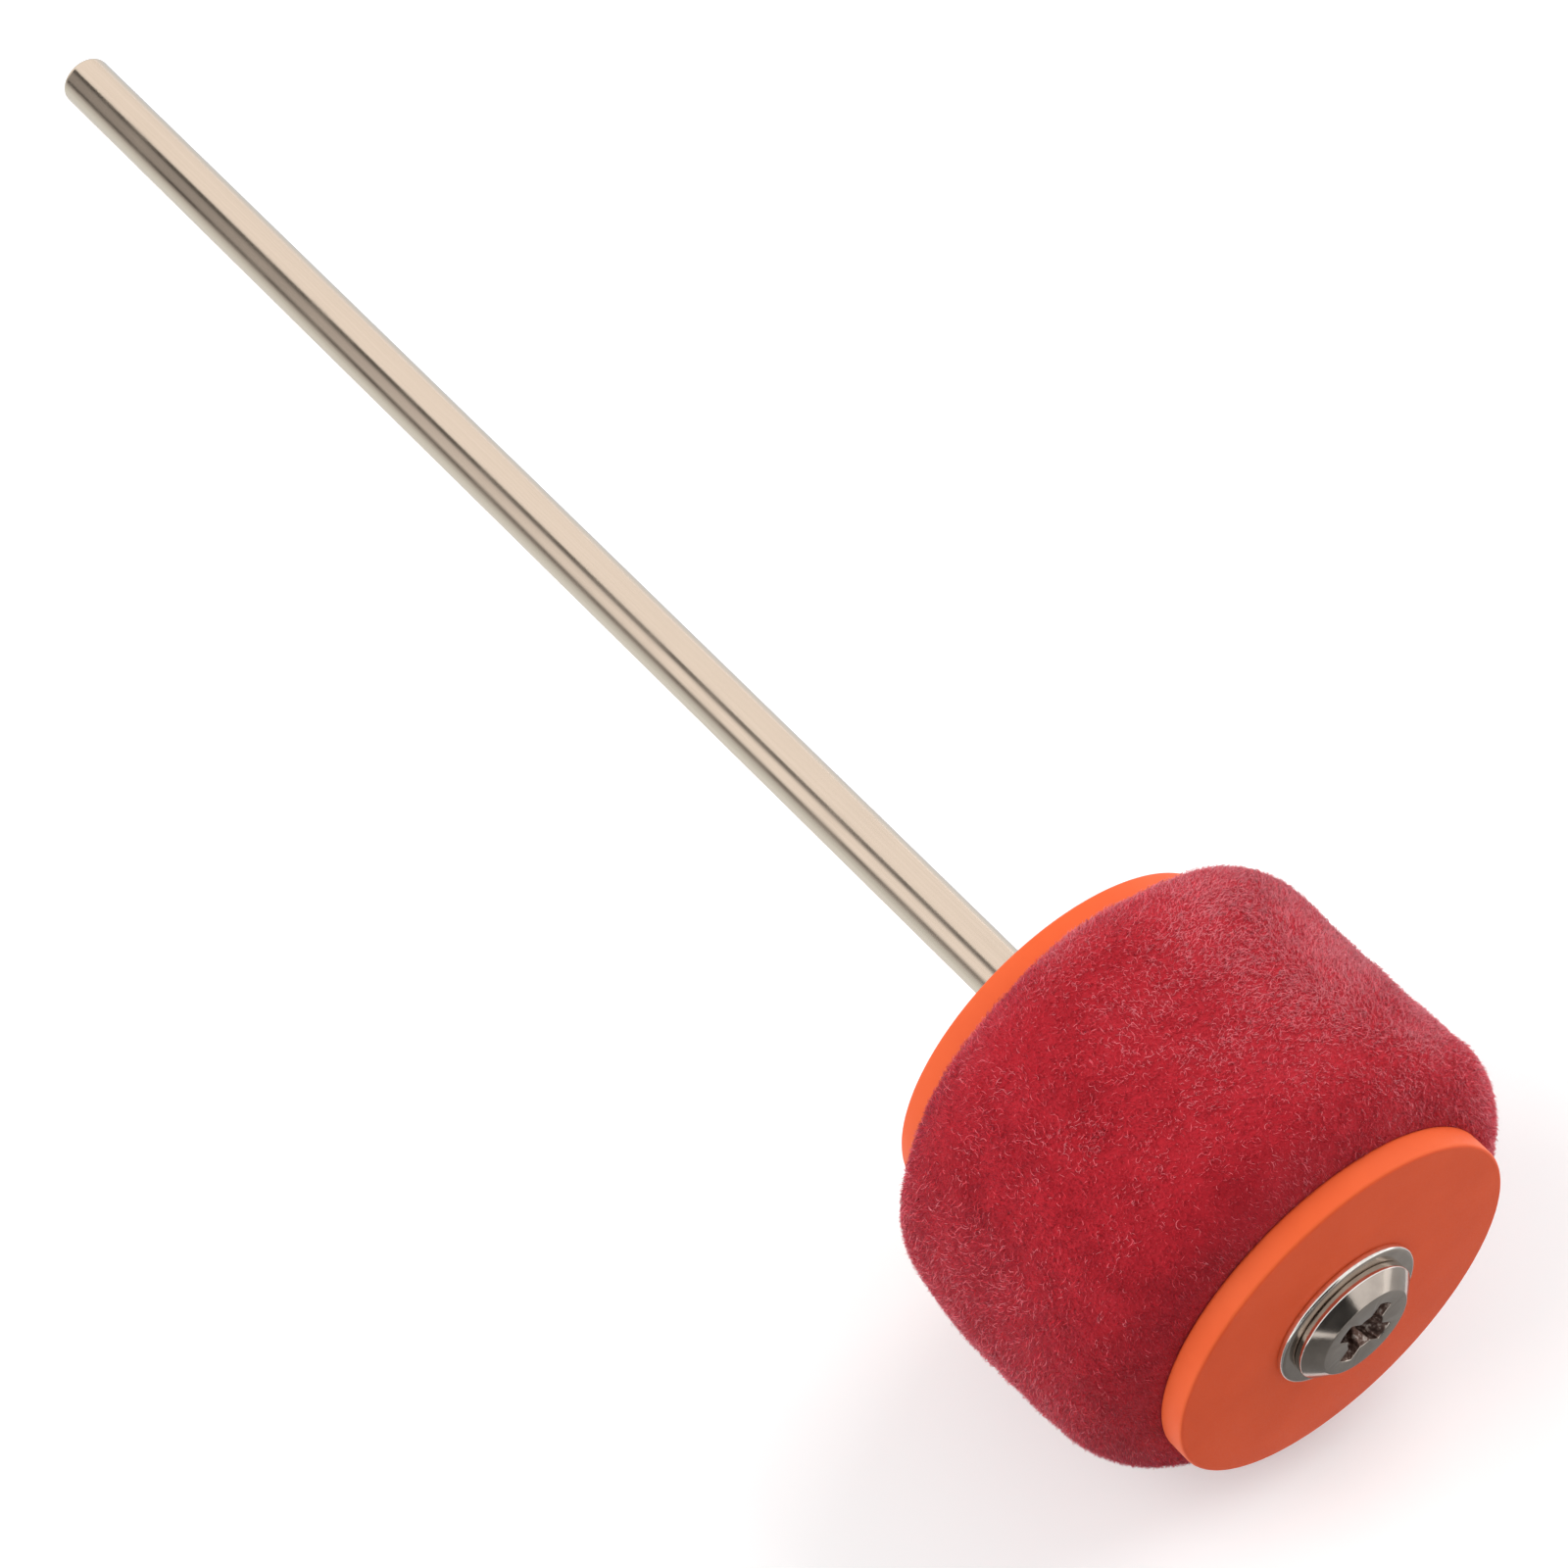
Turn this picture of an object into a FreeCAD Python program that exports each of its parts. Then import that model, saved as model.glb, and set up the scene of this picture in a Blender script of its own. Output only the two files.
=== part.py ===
import FreeCAD, Part
import math
import os

from FreeCAD import Vector

# Driving dimensions in millimetres.
# The shaft lies along X: its free end points to -X and the head is at the +X end.
# The origin is on the shaft's axis, in the middle of the stretch that a pedal's hub grips.

# Shaft
shaft_d = 6.0
shaft_exposed = 173.0        # from the free end to the back of the rear disc
grip_middle = 30.0           # from the free end to the origin
shaft_end_chamfer = 0.5
thread_d = 5.35              # pitch diameter of the thread cut on the rod, which stands for the thread
thread_behind_disc = 7.0     # thread behind the rear disc, under the rear nut and washer
thread_end_chamfer = 0.8

# Rear nut and washer
rear_nut_flats = 10.0
rear_nut_t = 3.2
rear_nut_chamfer = 0.5
rear_washer_d = 12.0
rear_washer_t = 1.6
rear_washer_bore = 6.4

# End discs
disc_d = 41.0
disc_t = 3.0
disc_edge_round = 0.4

# Head between the discs
head_length = 35.4
head_d = 53.0
head_shoulder = 6.5          # rounding of the cover where it turns in under a disc
core_d = 26.0
cover_side_t = 3.0           # pile and backing on the side
cover_end_t = 1.5            # pile and backing squeezed under a disc
cover_lip_gap = 2.5          # from the core out to the cover's gathered edge
felt_shoulder = 3.5
draw_thread_d = 0.8

# Front washer
front_washer_d = 17.0
front_washer_t = 0.8
front_washer_edge = 0.3

# Sleeve nut
barrel_d = 8.0
barrel_length = 16.0         # from the underside of the head to the open end
barrel_chamfer = 0.5
nut_thread_depth = 13.0
thread_engaged = 11.5
drill_point_angle = 118.0
nut_head_d = 14.0
nut_head_side = 1.0
nut_head_t = 2.3
nut_top_d = 10.6
recess_across = 7.4
recess_floor_across = 3.6
recess_arm_w = 2.1
recess_throat_d = 4.6
recess_depth = 2.4
recess_turn = 45.0           # degrees about the shaft's axis

# Radial clearances
thread_play = 0.05
running_play = 0.1
washer_play = 0.2
glue_gap = 0.05
barrel_end_gap = 1.0         # past the open end of the sleeve nut, along the shaft

# Places along the shaft, from the free end forwards
x_free_end = -grip_middle
x_rear_disc = x_free_end + shaft_exposed
x_rear_inside = x_rear_disc + disc_t
x_front_inside = x_rear_inside + head_length
x_front_face = x_front_inside + disc_t
x_nut_seat = x_front_face + front_washer_t
x_barrel_end = x_nut_seat - barrel_length
x_shaft_tip = x_barrel_end + thread_engaged
x_thread_start = x_rear_disc - thread_behind_disc

AXIS = Vector(1, 0, 0)
ORIGIN = Vector(0, 0, 0)


def at(x, r):
    """Point of a turned profile: x along the shaft, r out from its axis."""
    return Vector(x, r, 0)


def line(start, end):
    return Part.LineSegment(at(*start), at(*end)).toShape()


def bend(centre, radius, start_deg, end_deg):
    """Arc of a turned profile; 0 degrees points along the shaft and 90 degrees outwards."""
    points = []
    for deg in (start_deg, (start_deg + end_deg) / 2, end_deg):
        angle = math.radians(deg)
        points.append(at(centre[0] + radius * math.cos(angle), centre[1] + radius * math.sin(angle)))
    return Part.Arc(*points).toShape()


def turned(edges):
    """Solid turned about the shaft's axis from the edges of a closed profile, in order."""
    return Part.Face(Part.Wire(edges)).revolve(ORIGIN, AXIS, 360)


def turned_polygon(corners):
    closed = corners + corners[:1]
    return turned([line(a, b) for a, b in zip(closed, closed[1:])])


def plain_ring(x0, x1, inner_r, outer_r):
    return turned_polygon([(x0, inner_r), (x0, outer_r), (x1, outer_r), (x1, inner_r)])


def rounded_ring(x0, x1, inner_r, outer_r, edge):
    """Ring whose two outer edges are rounded."""
    flat_r = outer_r - edge
    return turned([
        line((x0, inner_r), (x0, flat_r)),
        bend((x0 + edge, flat_r), edge, 180, 90),
        line((x0 + edge, outer_r), (x1 - edge, outer_r)),
        bend((x1 - edge, flat_r), edge, 90, 0),
        line((x1, flat_r), (x1, inner_r)),
        line((x1, inner_r), (x0, inner_r)),
    ])


def shaft():
    """Rod with a broken edge at the free end and a thread at the head end."""
    r = shaft_d / 2
    thread_r = thread_d / 2
    return turned_polygon([
        (x_free_end, 0),
        (x_free_end, r - shaft_end_chamfer),
        (x_free_end + shaft_end_chamfer, r),
        (x_thread_start, r),
        (x_thread_start, thread_r),
        (x_shaft_tip - thread_end_chamfer, thread_r),
        (x_shaft_tip, thread_r - thread_end_chamfer),
        (x_shaft_tip, 0),
    ])


def rear_washer():
    return plain_ring(x_rear_disc - rear_washer_t, x_rear_disc, rear_washer_bore / 2, rear_washer_d / 2)


def rear_nut():
    """Thin hexagon nut whose corners are turned off on both sides."""
    x1 = x_rear_disc - rear_washer_t
    x0 = x1 - rear_nut_t
    corner_r = rear_nut_flats / 2 / math.cos(math.radians(30))
    corners = []
    for i in range(7):
        angle = math.radians(60 * i)
        corners.append(Vector(x0, corner_r * math.cos(angle), corner_r * math.sin(angle)))
    hexagon = Part.Face(Part.makePolygon(corners)).extrude(AXIS * rear_nut_t)
    bore_r = thread_d / 2 + thread_play
    blank = turned_polygon([
        (x0, bore_r),
        (x0, rear_nut_flats / 2),
        (x0 + rear_nut_chamfer, corner_r),
        (x1 - rear_nut_chamfer, corner_r),
        (x1, rear_nut_flats / 2),
        (x1, bore_r),
    ])
    return hexagon.common(blank)


def rear_disc():
    bore_r = shaft_d / 2 + running_play
    return rounded_ring(x_rear_disc, x_rear_inside, bore_r, disc_d / 2, disc_edge_round)


def front_disc():
    bore_r = barrel_d / 2 + running_play
    return rounded_ring(x_front_inside, x_front_face, bore_r, disc_d / 2, disc_edge_round)


def head_core():
    """Hub between the discs, bored for the shaft and counterbored for the sleeve nut's barrel."""
    shaft_bore = shaft_d / 2 + running_play
    barrel_bore = barrel_d / 2 + running_play
    x_step = x_barrel_end - barrel_end_gap
    return turned_polygon([
        (x_rear_inside, shaft_bore),
        (x_rear_inside, core_d / 2),
        (x_front_inside, core_d / 2),
        (x_front_inside, barrel_bore),
        (x_step, barrel_bore),
        (x_step, shaft_bore),
    ])


def felt_padding():
    """Felt sleeve round the core, rounded at both ends."""
    inset = cover_end_t + glue_gap
    outer_r = head_d / 2 - cover_side_t - glue_gap
    return rounded_ring(x_rear_inside + inset, x_front_inside - inset, core_d / 2 + glue_gap, outer_r, felt_shoulder)


def plush_cover():
    """Pile cover over the felt, whose ends turn in between the felt and the discs."""
    outer_r = head_d / 2
    tuck_r = outer_r - head_shoulder
    lip_r = core_d / 2 + cover_lip_gap
    inner_r = outer_r - cover_side_t
    fold = felt_shoulder + glue_gap
    fold_r = inner_r - fold
    x0, x1 = x_rear_inside, x_front_inside
    i0, i1 = x0 + cover_end_t, x1 - cover_end_t
    return turned([
        line((x0, lip_r), (x0, tuck_r)),
        bend((x0 + head_shoulder, tuck_r), head_shoulder, 180, 90),
        line((x0 + head_shoulder, outer_r), (x1 - head_shoulder, outer_r)),
        bend((x1 - head_shoulder, tuck_r), head_shoulder, 90, 0),
        line((x1, tuck_r), (x1, lip_r)),
        line((x1, lip_r), (i1, lip_r)),
        line((i1, lip_r), (i1, fold_r)),
        bend((i1 - fold, fold_r), fold, 0, 90),
        line((i1 - fold, inner_r), (i0 + fold, inner_r)),
        bend((i0 + fold, fold_r), fold, 90, 180),
        line((i0, fold_r), (i0, lip_r)),
        line((i0, lip_r), (x0, lip_r)),
    ])


def draw_thread(x_disc_face, inwards):
    """Ring of thread at the cover's gathered edge; inwards is +1 at the rear disc and -1 at the front one."""
    ring_r = core_d / 2 + cover_lip_gap - glue_gap - draw_thread_d / 2
    middle = Vector(x_disc_face + inwards * cover_end_t / 2, 0, 0)
    return Part.makeTorus(ring_r, draw_thread_d / 2, middle, AXIS)


def front_washer():
    bore_r = barrel_d / 2 + washer_play
    return rounded_ring(x_front_face, x_nut_seat, bore_r, front_washer_d / 2, front_washer_edge)


def recess_wing(x_top, turn):
    """One of the two crossed, tapering blades of the screwdriver recess."""
    x_floor = x_top - recess_depth
    x_over = x_top + nut_head_t
    half_top = recess_across / 2
    half_floor = recess_floor_across / 2
    side = -recess_arm_w / 2
    outline = [
        Vector(x_over, half_top, side),
        Vector(x_top, half_top, side),
        Vector(x_floor, half_floor, side),
        Vector(x_floor, -half_floor, side),
        Vector(x_top, -half_top, side),
        Vector(x_over, -half_top, side),
        Vector(x_over, half_top, side),
    ]
    wing = Part.Face(Part.makePolygon(outline)).extrude(Vector(0, 0, recess_arm_w))
    wing.rotate(ORIGIN, AXIS, turn)
    return wing


def sleeve_nut():
    """Blind nut: a barrel that holds the shaft's thread, under a bevelled head with a cross recess."""
    bore_r = thread_d / 2 + thread_play
    barrel_r = barrel_d / 2
    x_top = x_nut_seat + nut_head_t
    x_bottom = x_barrel_end + nut_thread_depth
    x_point = x_bottom + bore_r / math.tan(math.radians(drill_point_angle / 2))
    blank = turned_polygon([
        (x_barrel_end, bore_r),
        (x_barrel_end, barrel_r - barrel_chamfer),
        (x_barrel_end + barrel_chamfer, barrel_r),
        (x_nut_seat, barrel_r),
        (x_nut_seat, nut_head_d / 2),
        (x_nut_seat + nut_head_side, nut_head_d / 2),
        (x_top, nut_top_d / 2),
        (x_top, 0),
        (x_point, 0),
        (x_bottom, bore_r),
    ])
    throat_r = recess_throat_d / 2
    throat = Part.makeCone(
        recess_arm_w / 2, throat_r, recess_depth, Vector(x_top - recess_depth, 0, 0), AXIS
    )
    blades = recess_wing(x_top, recess_turn).fuse(recess_wing(x_top, recess_turn + 90))
    return blank.cut(blades).cut(throat)


pieces = {
    "shaft": shaft(),
    "rear_nut": rear_nut(),
    "rear_washer": rear_washer(),
    "rear_disc": rear_disc(),
    "head_core": head_core(),
    "felt_padding": felt_padding(),
    "plush_cover": plush_cover(),
    "rear_draw_thread": draw_thread(x_rear_inside, 1),
    "front_draw_thread": draw_thread(x_front_inside, -1),
    "front_disc": front_disc(),
    "front_washer": front_washer(),
    "sleeve_nut": sleeve_nut(),
}

os.makedirs("parts", exist_ok=True)
for name, solid in pieces.items():
    solid.exportStep(f"parts/{name}.step")
    print(f"{name}: {len(solid.Solids)} solid, {solid.Volume:.1f} mm3, valid {solid.isValid()}")
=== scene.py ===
import math

import bmesh
import bpy
import numpy as np
from mathutils import Matrix, Vector


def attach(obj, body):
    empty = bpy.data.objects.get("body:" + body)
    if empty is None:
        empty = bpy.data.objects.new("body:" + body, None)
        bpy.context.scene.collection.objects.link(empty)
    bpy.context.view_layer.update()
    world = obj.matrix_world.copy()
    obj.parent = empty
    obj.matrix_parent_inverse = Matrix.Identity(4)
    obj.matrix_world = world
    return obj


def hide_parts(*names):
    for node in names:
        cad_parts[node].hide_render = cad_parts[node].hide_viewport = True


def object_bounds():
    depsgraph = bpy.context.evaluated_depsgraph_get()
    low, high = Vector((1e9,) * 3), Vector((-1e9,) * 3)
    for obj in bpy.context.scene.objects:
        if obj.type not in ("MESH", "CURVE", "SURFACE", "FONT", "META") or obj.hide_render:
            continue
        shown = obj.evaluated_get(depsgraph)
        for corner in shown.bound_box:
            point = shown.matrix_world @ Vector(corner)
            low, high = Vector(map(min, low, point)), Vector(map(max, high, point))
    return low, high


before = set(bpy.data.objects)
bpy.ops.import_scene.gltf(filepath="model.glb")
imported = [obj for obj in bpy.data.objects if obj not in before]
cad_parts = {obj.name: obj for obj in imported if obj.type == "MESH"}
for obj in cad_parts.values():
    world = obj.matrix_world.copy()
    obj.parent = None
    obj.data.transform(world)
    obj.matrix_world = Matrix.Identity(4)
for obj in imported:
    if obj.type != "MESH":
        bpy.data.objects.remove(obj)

cad_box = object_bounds()

# Sizes are in millimetres unless a heading says metres, and colours are linear. The shaft's axis is X.
MM = 0.001
TINY = 1e-9

# Rows and columns of points on the pieces
ROD_COLUMNS = 64
RING_COLUMNS = 128
FELT_COLUMNS = 160
NUT_COLUMNS = 192
DISC_COLUMNS = 256
COVER_COLUMNS = 320
DRAW_COLUMNS = 720
DRAW_SIDES = 8
FELT_ROWS = 26
COVER_ROWS = 44
EDGE_STEPS = 6
WASHER_FOOT_STEPS = 3
NUT_CORNER_STEPS = 4
COVER_SHOULDER_STEPS = 16
SHARP_EDGE_DEG = 32.0

# Threads on the rod and in the nuts
THREAD_PITCH = 1.0
THREAD_CREST_R = 2.97
THREAD_ROOT_R = 2.45
THREAD_ROOT_FLAT = 0.12      # share of half a pitch
THREAD_FLANK = 0.72          # share of half a pitch
THREAD_PLAY = 0.04
THREAD_MOUTH = 0.15          # countersink of the rear nut, past the crests
THREAD_POINT = 0.3           # how far the tip of the rod lies under the roots
THREAD_ROW = THREAD_PITCH / 8
THREAD_FADE = 1.2            # run-out into the plain rod
THREAD_BEHIND_DISC = 7.0

# Rod and discs
SHAFT_END_ROUND = 0.8
DISC_EDGE_ROUND = 0.4
DISC_HIGHLIGHT_BAND = 0.1          # part of the rounded edge that has the rim's paler colour, a painted highlight
DISC_REAR_BORE_R = 3.1
DISC_FRONT_BORE_R = 4.1

# Rear nut and washer
REAR_NUT_FLATS = 10.0
REAR_NUT_FACE = 0.97         # share of the flats' distance where the chamfer starts
REAR_NUT_CHAMFER_DEG = 30.0
REAR_NUT_MOUTH_DEPTH = 0.4
REAR_WASHER_BORE_R = 3.2
REAR_WASHER_EDGE = 0.15

# Front washer, stamped with a soft upper edge
WASHER_BORE_R = 4.2
WASHER_TOP_ROUND_X = 0.35
WASHER_TOP_ROUND_R = 0.5
WASHER_FOOT_ROUND = 0.1
# Outer band of the washer that gets a painted highlight
WASHER_HIGHLIGHT_EDGE = 0.12

# Sleeve nut
BARREL_R = 4.0
BARREL_CHAMFER = 0.5
NUT_BORE_DEPTH = 13.0
NUT_DRILL_POINT_DEG = 118.0
NUT_DRILL_POINT_R = 0.02
NUT_HEAD_T = 2.3
NUT_SIDE = 1.0
NUT_TOP_R = 5.3
NUT_CORNER_ROUND = 0.2

# Cross recess of the sleeve nut, which tapers from its mouth to its floor
RECESS_ARM_END_R = 3.7
RECESS_ARM_HALF_W = 1.05
RECESS_THROAT_R = 2.2
RECESS_FLOOR_END_R = 1.75
RECESS_FLOOR_HALF_W = 0.65
RECESS_FLOOR_THROAT_R = 0.9
RECESS_DEPTH = 2.3
RECESS_DEPTH_SHARES = (0.35, 0.7, 1.0)
RECESS_POINT_R = 0.05
RECESS_POINT_DEPTH = 0.15
RECESS_LIP = 0.12
RECESS_LIP_SHARES = (0.0, 0.35, 0.7, 1.0)
RECESS_TURN_DEG = 45.0

# Core, felt and draw threads
CORE_SHAFT_BORE_R = 3.1
CORE_BARREL_BORE_R = 4.1
CORE_STEP_FROM_FRONT = 13.2
CORE_EDGE = 0.3
GLUE_GAP = 0.05
FELT_SHOULDER = 3.5
FELT_LUMP = 0.12
DRAW_TWISTS = 60
DRAW_STRANDS = 2

# Plush cover under its pile
COVER_R = 26.05
COVER_SHOULDER_X = 7.0
COVER_SHOULDER_R = 6.2
COVER_END_T = 1.5
COVER_LIP_R = 15.5
COVER_FREE_FROM_R = 20.0     # the cover is held by the discs up to here,
COVER_FREE_OVER = 4.0        # and lies freely this much further out
COVER_OFFSET_Y = -0.31
COVER_OFFSET_Z = 0.21
COVER_CROWN = 0.35
COVER_CROWN_FALL = 1.5       # fall towards the discs, in crowns
COVER_WAIST = 0.5
COVER_WAIST_FALL = 2.0       # fall towards the discs, in waists
COVER_WAIST_DEG = 20.8
COVER_LUMP = 0.12
COVER_FINE_LUMP = 0.05

# Uneven fields over the head: how many waves, their most turns round the shaft and the shortest along it
BROAD_LUMPS = {"waves": 14, "most_turns": 9, "shortest": 16.0}
FINE_LUMPS = {"waves": 24, "most_turns": 40, "shortest": 4.0}
NAP_TURN = {"waves": 12, "most_turns": 6, "shortest": 22.0}
NAP_SHADE = {"waves": 18, "most_turns": 14, "shortest": 9.0}
LOOSE_CLUMPS = {"waves": 26, "most_turns": 22, "shortest": 6.0}

# Pile: a short dense nap, and longer loose fibres that lie over it
PILE_SEED = 7
SHEEN_SIDE_DEG = 25.0           # side on which the pile is painted paler, a painted sheen
SIDE_STOPS_DEG = (0, 90, 130, 180)   # turns from that side at which the painted light and shade of the pile are given
SHEEN_FADE_FRONT = 0.8           # how far the painted sheen fades towards the front disc
FLECKS_SHEEN_SIDE = 1.0       # pale loose fibres thicken towards that side, a painted sheen,
FLECKS_TWO_SIDES = 0.5      # thin out a quarter turn from it,
FLECKS_FEWER_REAR = 0.3           # thin out a little towards the rear disc
FLECKS_FEWER_FRONT = 1.7          # and more towards the front disc
SPARE_ROOTS = 3              # roots tried for each one kept
NAP_SWIRL = 1.6              # radians that the lie of the pile turns from place to place,
NAP_STRAY = 1.1              # and from fibre to fibre
NAP_PATCH = 0.06             # shade of the patches
FIBRE_SIDES = 3
FIBRE_ROOT_DEPTH = 0.1
FIBRE_RISE = 1.8             # a fibre levels off towards its tip,
FIBRE_DRIFT = 1.3            # and leans over more towards its tip
FIBRE_TIP = 0.6              # share of the root's radius
FIBRE_TONE = 0.3             # gain of shade from root to tip, painted shade at the root and painted sheen at the tip,
FIBRE_TONE_FROM = 0.3        # and where the fibre has its own shade
FIBRE_ASIDE = (0.31, 0.74, 0.6)      # a way that hardly any fibre runs along
# side_shades are painted light and shade round the head, given at SIDE_STOPS_DEG
NAP = {
    "pieces": 5, "count": 49000, "steps": 1, "radius": 0.032, "clump": 0.0,
    "height": (0.18, 0.60), "few_tall": 1.0, "length": (0.05, 0.45), "curl": 0.0,
    # tip_shade makes taller fibres paler, a painted sheen of lit tips
    "shade": 0.42, "mottle": 0.2, "tip_shade": 0.34, "tip_girth": 0.6, "tousle": 0.3,
    # the nap's shoulder_shade is painted light near the discs, against their shade
    "side_shades": (0.29, 0.0, -0.45, 0.16), "shoulder_shade": 0.10, "sheen_flecks": 0.0,
}
LOOSE = {
    "pieces": 3, "count": 12000, "steps": 3, "radius": 0.043, "clump": 0.4,
    "height": (0.40, 0.72), "few_tall": 3.0, "length": (0.25, 0.9), "curl": 0.35,
    "shade": 0.72, "mottle": 0.18, "tip_shade": 0.0, "tip_girth": 0.0, "tousle": 0.4,
    "side_shades": (0.38, 0.0, -0.02, 0.34), "shoulder_shade": -0.1, "sheen_flecks": 1.1,
}
PILE_SHADES = [
    (0.30, 0.016, 0.025),
    (0.43, 0.018, 0.029),
    (0.58, 0.018, 0.031),
    (0.70, 0.028, 0.042),
    (0.83, 0.049, 0.067),
    (0.93, 0.105, 0.135),
    (0.99, 0.210, 0.245),
]
PILE_LEVELS = {
    "Roughness": 0.5,
    "Specular IOR Level": 0.05,
    "Subsurface Weight": 0.4,
    "Subsurface Radius": (1.0, 0.2, 0.24),
    "Subsurface Scale": 0.2 * MM,
    "Sheen Weight": 0.32,
    "Sheen Roughness": 0.3,
    "Sheen Tint": (1.0, 0.35, 0.39, 1),
}

# Materials that vary from place to place. A noise has a feature size, a detail and a stretch along the shaft.
# Colour, roughness and relief name the noise that they follow, and levels are the same all over.
NOISE_ROUGHNESS = 0.55
NOISE_REACH = (0.3, 0.7)     # between these a noise spends most of its values
ORANGE_PLASTIC = {
    "noises": {"grain": {"size": 0.22, "detail": 4}, "cloud": {"size": 9.0, "detail": 3}},
    "roughness": ("grain", 0.40, 0.52),
    "relief": ("grain", 0.012),
    "levels": {"Specular IOR Level": 0.12},
}
LOOKS = {
    # Warm nickel over a drawn rod, with faint lines along it
    "plated_shaft": {
        "noises": {"lines": {"size": 0.25, "detail": 4, "stretch": 160}, "cloud": {"size": 6.0, "detail": 2}},
        "colour": ("lines", [(0.3, (0.77, 0.625, 0.50)), (0.7, (0.80, 0.655, 0.53))]),
        "roughness": ("cloud", 0.16, 0.24),
        "relief": ("lines", 0.0015),
        "levels": {"Metallic": 1.0, "Specular Tint": (0.74, 0.73, 0.70, 1)},
    },
    # Grey bright nickel on stamped and turned steel
    "plated_fastener": {
        "noises": {"grain": {"size": 0.18, "detail": 4}, "cloud": {"size": 2.5, "detail": 3}},
        "colour": ("cloud", [(0.3, (0.46, 0.40, 0.35)), (0.7, (0.56, 0.49, 0.43))]),
        "roughness": ("cloud", 0.10, 0.20),
        "relief": ("grain", 0.003),
        "levels": {"Metallic": 1.0},
    },
    # Steel of the driver recess, darkened as painted shade, with pale patches in places
    "recess_painted_shade": {
        "noises": {"stain": {"size": 0.5, "detail": 4}},
        "colour": ("stain", [
            (0.42, (0.10, 0.06, 0.048)), (0.56, (0.22, 0.15, 0.125)), (0.64, (0.55, 0.47, 0.42)),
        ]),
        "roughness": ("stain", 0.28, 0.5),
        "relief": ("stain", 0.08),
        "levels": {"Metallic": 1.0},
    },
    # Nickel made brighter on the small rounded edges of washer and nut, a painted highlight
    "highlight_edge": {
        "noises": {"rub": {"size": 0.6, "detail": 3}},
        "colour": ("rub", [(0.3, (0.80, 0.76, 0.71)), (0.7, (0.93, 0.90, 0.86))]),
        "roughness": ("rub", 0.12, 0.22),
        "relief": ("rub", 0.003),
        "levels": {"Metallic": 1.0},
    },
    # Satin orange plastic with a fine cut grain, and a paler copy for the rim, a painted highlight
    "orange_disc": {
        **ORANGE_PLASTIC,
        "colour": ("cloud", [(0.3, (0.77, 0.091, 0.023)), (0.7, (0.82, 0.104, 0.028))]),
    },
    "orange_rim_highlight": {
        **ORANGE_PLASTIC,
        "colour": ("cloud", [(0.3, (0.82, 0.124, 0.037)), (0.7, (0.87, 0.141, 0.043))]),
    },
    # Dense foot of the pile, paler on one side as painted sheen and darker on the other as painted shade
    "plush": {
        "noises": {"fibre": {"size": 0.3, "detail": 5}, "patch": {"size": 5.0, "detail": 4}},
        "sheen_side": 0.25,
        "colour": ("patch", [
            (0.15, (0.34, 0.011, 0.019)), (0.5, (0.54, 0.021, 0.034)), (0.85, (0.60, 0.028, 0.043)),
        ]),
        "roughness": ("fibre", 0.80, 0.98),
        "relief": ("fibre", 0.25),
        "levels": {
            "Specular IOR Level": 0.05,
            "Sheen Weight": 0.3,
            "Sheen Roughness": 0.5,
            "Sheen Tint": (1.0, 0.45, 0.48, 1),
        },
    },
    # Turned beech, with its grain along the shaft
    "wood_core": {
        "noises": {
            "grain": {"size": 0.8, "detail": 5, "stretch": 14},
            "fleck": {"size": 0.25, "detail": 2, "stretch": 8},
        },
        "colour": ("grain", [(0.3, (0.42, 0.24, 0.12)), (0.7, (0.62, 0.41, 0.23))]),
        "roughness": ("fleck", 0.5, 0.7),
        "relief": ("grain", 0.05),
        "levels": {},
    },
    # Pressed grey-white wool
    "felt": {
        "noises": {"fibre": {"size": 0.25, "detail": 6}, "cloud": {"size": 3.0, "detail": 3}},
        "colour": ("cloud", [(0.3, (0.50, 0.47, 0.42)), (0.7, (0.66, 0.63, 0.58))]),
        "roughness": ("fibre", 0.85, 1.0),
        "relief": ("fibre", 0.15),
        "levels": {"Sheen Weight": 0.3},
    },
    # Dyed sewing thread
    "sewing_thread": {
        "noises": {"fibre": {"size": 0.08, "detail": 3}},
        "colour": ("fibre", [(0.3, (0.20, 0.012, 0.018)), (0.7, (0.36, 0.03, 0.04))]),
        "roughness": ("fibre", 0.6, 0.8),
        "relief": ("fibre", 0.02),
        "levels": {},
    },
}

# Camera, fitted to a frame of 1600 by 1600 pixels
FRAME_PX = 1600
FOCAL_PX = 5255.7
SENSOR = 36.0
CAMERA_FROM_FACE = Vector((173.48, -166.29, 432.22))
CAMERA_RIGHT = Vector((0.6240, 0.7779, -0.0741))
CAMERA_BACK = Vector((0.4851, -0.3113, 0.8171))

# Floor, world and lamps, in metres
FLOOR_SIZE = 6.0
FLOOR_MIDDLE_X = 0.08
FLOOR_GAP = 0.0009
FLOOR_LEVELS = {
    "Base Color": (0.86, 0.86, 0.86, 1),
    "Roughness": 1.0,
    "Specular IOR Level": 0.0,
    "Emission Color": (1, 1, 1, 1),
}
FLOOR_LIFT = (0.25, 0.85)    # glow of the paper near the object and far from it,
FLOOR_LIFT_OVER = (0.4, 1.4)         # between these distances
WORLD_LIGHT = 0.42           # strength as a light
WORLD_SEEN = 1.0             # strength as a background
SOFTBOXES = {"softbox_left": (-0.35, -0.9, 0.8), "softbox_right": (0.16, 1.0, 0.7)}
SOFTBOX_TARGET = (0.16, 0, 0)
SOFTBOX_SIZE = 1.2
SOFTBOX_POWER = 13
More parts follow.
